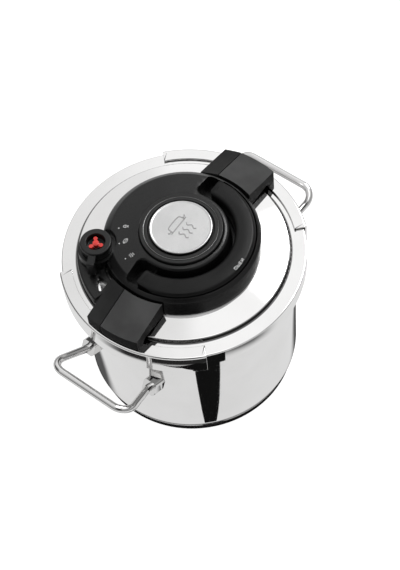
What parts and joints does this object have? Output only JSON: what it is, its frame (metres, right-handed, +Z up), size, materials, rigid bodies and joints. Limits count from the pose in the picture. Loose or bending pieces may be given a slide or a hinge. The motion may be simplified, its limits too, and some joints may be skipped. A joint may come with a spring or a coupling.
{
  "type": "pressure canner",
  "caption": "Stainless pressure canner with two sliding clamp jaws, a folding arch handle that drives them, a push button, a rotary steam valve and two fixed side handles.",
  "frame": {"origin": "centre of the underside of the pot's base, which stands on the hob or table", "axes": "+Z up; the clamp jaws and side handles lie along X; the folded arch handle is on the -Y side and the steam valve on the +Y side"},
  "size_m": [0.3624, 0.268, 0.2464],
  "materials": {
    "polished_steel": "mirror-polished stainless steel",
    "core_aluminium": "plain pressed",
    "silicone": "soft grey silicone",
    "black_plastic": "fine spark-eroded satin texture",
    "dark_plastic": "smooth satin",
    "trim_chrome": "bright",
    "button_metal": "fine bead-blasted",
    "hidden_steel": "plain rolled",
    "brass": "turned",
    "red_plastic": "gloss"
  },
  "bodies": {
    "pot": {"pot_shell": "polished_steel", "base_core": "core_aluminium", "base_cap": "polished_steel", "handle_right": "polished_steel", "handle_left": "polished_steel", "handle_brackets_right": "polished_steel", "handle_brackets_left": "polished_steel", "lid_shell": "polished_steel", "gasket": "silicone", "slide_housing": "dark_plastic", "disc_cover": "black_plastic", "hub_ring": "dark_plastic", "trim_ring": "trim_chrome", "button_guide": "dark_plastic", "centre_bolt": "hidden_steel", "centre_nut": "hidden_steel", "housing_screws": "hidden_steel", "safety_valve": "brass", "valve_housing": "black_plastic", "valve_post": "hidden_steel", "valve_nut": "hidden_steel"},
    "arch": {"arch_handle": "black_plastic", "hinge_shaft": "hidden_steel", "cam_drum_right": "dark_plastic", "cam_drum_left": "dark_plastic"},
    "jaw_right_slide": {"jaw_right": "polished_steel", "slide_strap_right": "hidden_steel", "follower_pin_right": "hidden_steel", "jaw_rivets_right": "hidden_steel", "arm_cover_right": "black_plastic", "arm_side_right": "black_plastic"},
    "jaw_left_slide": {"jaw_left": "polished_steel", "slide_strap_left": "hidden_steel", "follower_pin_left": "hidden_steel", "jaw_rivets_left": "hidden_steel", "arm_cover_left": "black_plastic", "arm_side_left": "black_plastic"},
    "button": {"button_cap": "button_metal", "button_body": "dark_plastic", "button_spring": "hidden_steel"},
    "valve": {"valve_knob": "dark_plastic"},
    "indicator": {"red_indicator": "red_plastic"}
  },
  "joints": [
    {"name": "arch_hinge", "type": "hinge", "parent": "pot", "child": "arch", "pos_m": [0, 0, 0.221], "axis": [-1, 0, 0], "range_deg": [0, 90]},
    {"name": "right_jaw", "type": "slide", "parent": "pot", "child": "jaw_right_slide", "axis": [1, 0, 0], "range_m": [0, 0.013]},
    {"name": "left_jaw", "type": "slide", "parent": "pot", "child": "jaw_left_slide", "axis": [-1, 0, 0], "range_m": [0, 0.013]},
    {"name": "push_button", "type": "slide", "parent": "pot", "child": "button", "axis": [0, 0, -1], "range_m": [0, 0.003], "stiffness_N_per_m": 700, "springref_m": -0.004, "deforming": ["button_spring"]},
    {"name": "valve_turn", "type": "hinge", "parent": "pot", "child": "valve", "pos_m": [-0.061, 0.0689, 0.235], "axis": [0, 0, -1], "range_deg": [0, 108]},
    {"name": "indicator_rise", "type": "slide", "parent": "pot", "child": "indicator", "axis": [0, 0, 1], "range_m": [0, 0.003]}
  ],
  "couplings": [
    {"joint": "right_jaw", "follows": "arch_hinge", "m_per_rad": 0.0082761},
    {"joint": "left_jaw", "follows": "arch_hinge", "m_per_rad": 0.0082761}
  ]
}
